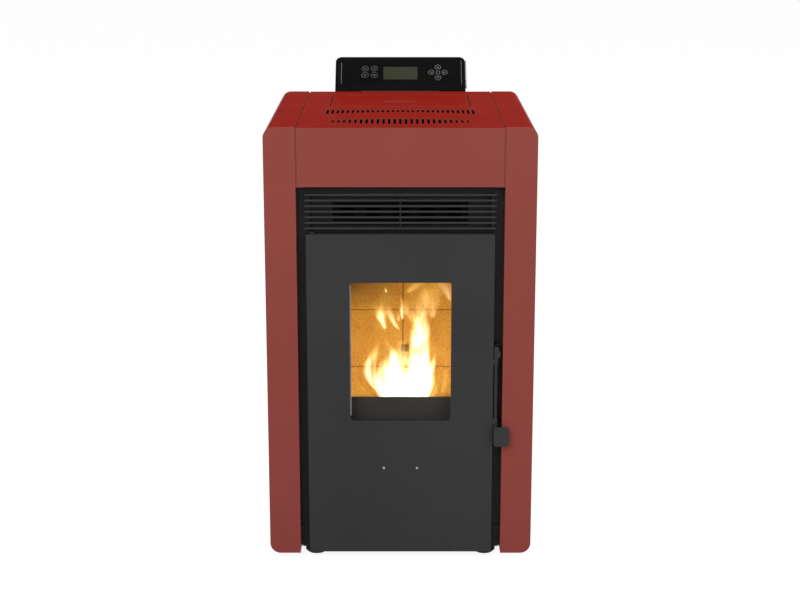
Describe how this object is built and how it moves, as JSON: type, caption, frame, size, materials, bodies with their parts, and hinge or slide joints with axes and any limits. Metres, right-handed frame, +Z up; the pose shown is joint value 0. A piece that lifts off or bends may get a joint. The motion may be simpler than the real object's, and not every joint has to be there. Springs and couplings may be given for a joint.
{
  "type": "pellet stove",
  "caption": "Free-standing pellet stove with a glazed fire door, a lidded fuel hopper, an auger feed, an ash drawer, fans and a tilted key console.",
  "frame": {"origin": "centre of the overall box's bottom face, on the floor under the stove", "axes": "+Z up, +X to the right of a person facing the fire door, -Y out of the fire door"},
  "size_m": [0.46, 0.586, 0.8325],
  "materials": {
    "red_paint": "satin red enamel",
    "black_paint": "matt black heat-resisting paint",
    "frame_paint": "matt black heat-resisting paint",
    "zinc_sheet": "galvanised sheet",
    "bright_steel": "turned and plated steel",
    "fire_steel": "heat-blued steel plate",
    "cast_grate": "raw cast iron",
    "fire_brick": "pressed vermiculite",
    "door_glass": "clear glass ceramic",
    "fibre_rope": "woven glass fibre",
    "soft_rubber": "black rubber",
    "console_shell": "gloss black plastic",
    "console_keys": "gloss black plastic with light outline",
    "display": "unlit green-grey display",
    "circuit_board": "green laminate with components",
    "black_plastic": "moulded black plastic",
    "motor_steel": "grey enamelled motor",
    "fan_aluminium": "pressed aluminium"
  },
  "bodies": {
    "cabinet": {"base_tray": "frame_paint", "rubber_feet": "soft_rubber", "chassis_sides": "frame_paint", "left_cheek": "red_paint", "right_cheek": "red_paint", "top_cover": "red_paint", "front_frame": "frame_paint", "air_grille": "black_paint", "back_panel": "zinc_sheet", "casing_screws": "bright_steel", "hinge_brackets": "frame_paint", "latch_keeper": "frame_paint", "firebox": "fire_steel", "fire_bricks": "fire_brick", "baffle_plate": "fire_brick", "exchanger_tubes": "fire_steel", "burn_pot_cradle": "cast_grate", "hopper": "zinc_sheet", "feed_tube": "zinc_sheet", "feed_gearmotor": "motor_steel", "drop_chute": "zinc_sheet", "smoke_fan_housing": "zinc_sheet", "fan_motors": "motor_steel", "flue_spigot": "zinc_sheet", "air_intake": "zinc_sheet", "igniter": "bright_steel", "convection_fan_housing": "zinc_sheet", "smoke_duct": "zinc_sheet", "control_board": "circuit_board", "pressure_switch": "black_plastic", "mains_inlet": "black_plastic", "console_housing": "console_shell", "console_faceplate": "console_shell", "console_display": "display", "console_bracket": "frame_paint"},
    "door": {"door_panel": "black_paint", "door_inner_frame": "frame_paint", "door_glass": "door_glass", "door_seals": "fibre_rope", "glass_clips": "bright_steel", "door_studs": "black_paint"},
    "latch": {"latch_rod": "black_paint", "latch_grip": "black_paint"},
    "lid": {"hopper_lid": "red_paint", "lid_seal": "soft_rubber"},
    "drawer": {"ash_drawer": "fire_steel"},
    "pot": {"burn_pot": "cast_grate"},
    "auger": {"auger_screw": "bright_steel"},
    "smoke_wheel": {"smoke_fan_wheel": "fan_aluminium"},
    "convection_wheel": {"convection_fan_wheel": "fan_aluminium"},
    "rocker": {"mains_switch": "black_plastic"},
    "key_round_1_body": {"key_round_1": "console_keys"},
    "key_round_2_body": {"key_round_2": "console_keys"},
    "key_round_3_body": {"key_round_3": "console_keys"},
    "key_round_4_body": {"key_round_4": "console_keys"},
    "key_up_body": {"key_up": "console_keys"},
    "key_left_body": {"key_left": "console_keys"},
    "key_down_body": {"key_down": "console_keys"},
    "key_right_body": {"key_right": "console_keys"},
    "key_centre_body": {"key_centre": "console_keys"}
  },
  "joints": [
    {"name": "door_hinge", "type": "hinge", "parent": "cabinet", "child": "door", "pos_m": [-0.15, -0.269, 0.303], "axis": [0, 0, -1], "range_deg": [0, 110]},
    {"name": "latch_turn", "type": "hinge", "parent": "door", "child": "latch", "pos_m": [0.165, -0.273, 0.308], "axis": [0, 0, -1], "range_deg": [0, 45]},
    {"name": "lid_hinge", "type": "hinge", "parent": "cabinet", "child": "lid", "pos_m": [0, 0.151, 0.769], "axis": [-1, 0, 0], "range_deg": [0, 78]},
    {"name": "drawer_slide", "type": "slide", "parent": "cabinet", "child": "drawer", "axis": [0, -1, 0], "range_m": [0, 0.1152]},
    {"name": "pot_lift", "type": "slide", "parent": "cabinet", "child": "pot", "axis": [0, 0, 1], "range_m": [0, 0.05]},
    {"name": "auger_turn", "type": "hinge", "parent": "cabinet", "child": "auger", "pos_m": [0, 0.133, 0.342], "axis": [0, -0.6278, 0.7784], "continuous": true},
    {"name": "smoke_fan_turn", "type": "hinge", "parent": "cabinet", "child": "smoke_wheel", "pos_m": [-0.09, 0.051, 0.12], "axis": [1, 0, 0], "continuous": true},
    {"name": "convection_fan_turn", "type": "hinge", "parent": "cabinet", "child": "convection_wheel", "pos_m": [0.07, 0.051, 0.1], "axis": [1, 0, 0], "continuous": true},
    {"name": "mains_rocker", "type": "hinge", "parent": "cabinet", "child": "rocker", "pos_m": [0.078, 0.204, 0.062], "axis": [1, 0, 0], "range_deg": [0, 16]},
    {"name": "key_round_1_press", "type": "slide", "parent": "cabinet", "child": "key_round_1_body", "axis": [0, 0.7071, -0.7071], "range_m": [0, 0.0007], "stiffness_N_per_m": 400},
    {"name": "key_round_2_press", "type": "slide", "parent": "cabinet", "child": "key_round_2_body", "axis": [0, 0.7071, -0.7071], "range_m": [0, 0.0007], "stiffness_N_per_m": 400},
    {"name": "key_round_3_press", "type": "slide", "parent": "cabinet", "child": "key_round_3_body", "axis": [0, 0.7071, -0.7071], "range_m": [0, 0.0007], "stiffness_N_per_m": 400},
    {"name": "key_round_4_press", "type": "slide", "parent": "cabinet", "child": "key_round_4_body", "axis": [0, 0.7071, -0.7071], "range_m": [0, 0.0007], "stiffness_N_per_m": 400},
    {"name": "key_up_press", "type": "slide", "parent": "cabinet", "child": "key_up_body", "axis": [0, 0.7071, -0.7071], "range_m": [0, 0.0007], "stiffness_N_per_m": 400},
    {"name": "key_left_press", "type": "slide", "parent": "cabinet", "child": "key_left_body", "axis": [0, 0.7071, -0.7071], "range_m": [0, 0.0007], "stiffness_N_per_m": 400},
    {"name": "key_down_press", "type": "slide", "parent": "cabinet", "child": "key_down_body", "axis": [0, 0.7071, -0.7071], "range_m": [0, 0.0007], "stiffness_N_per_m": 400},
    {"name": "key_right_press", "type": "slide", "parent": "cabinet", "child": "key_right_body", "axis": [0, 0.7071, -0.7071], "range_m": [0, 0.0007], "stiffness_N_per_m": 400},
    {"name": "key_centre_press", "type": "slide", "parent": "cabinet", "child": "key_centre_body", "axis": [0, 0.7071, -0.7071], "range_m": [0, 0.0007], "stiffness_N_per_m": 400}
  ],
  "couplings": [
    {"joint": "drawer_slide", "follows": "door_hinge", "m_per_rad": 0.06}
  ]
}
